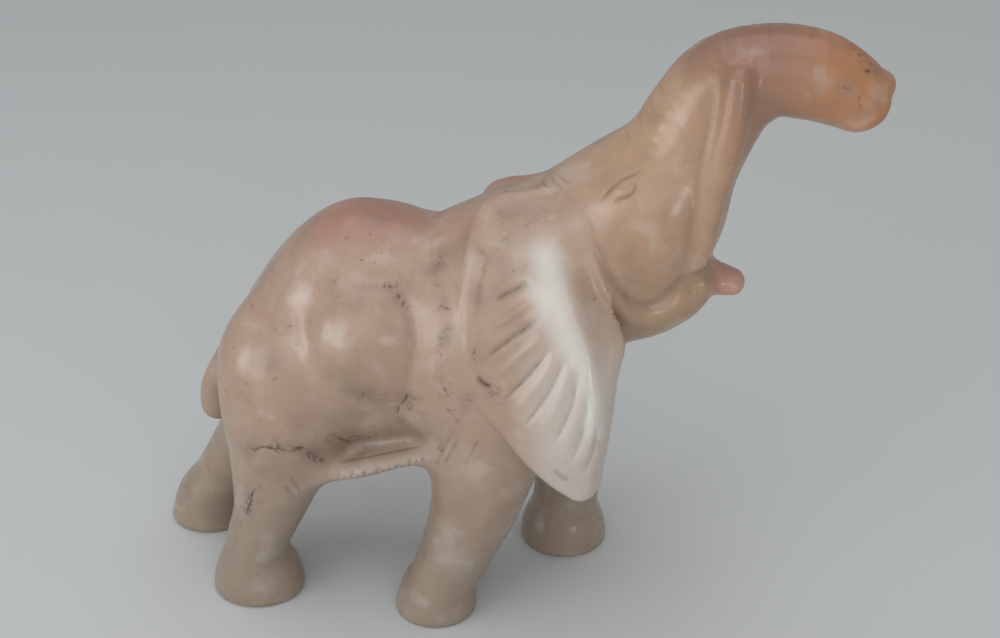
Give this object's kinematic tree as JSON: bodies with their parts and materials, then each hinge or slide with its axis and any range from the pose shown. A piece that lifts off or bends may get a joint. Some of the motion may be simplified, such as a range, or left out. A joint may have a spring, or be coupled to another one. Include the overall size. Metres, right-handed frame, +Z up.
{
  "type": "elephant figurine",
  "caption": "Carved stone elephant striding with its head raised and its trunk curled forward over the brow; a decorative figure that stands on its own feet.",
  "frame": {"origin": "on the floor, at the bottom centre of the figure's bounding box", "axes": "+X the way the animal walks and the trunk points, +Y to its left, +Z up"},
  "size_m": [0.3368, 0.1236, 0.2858],
  "materials": {
    "stone": "waxed and polished soft stone, pink-tan on top and cream-grey below, with purple-grey veins and brown cracks"
  },
  "bodies": {
    "root": {"elephant": "stone"}
  },
  "joints": []
}
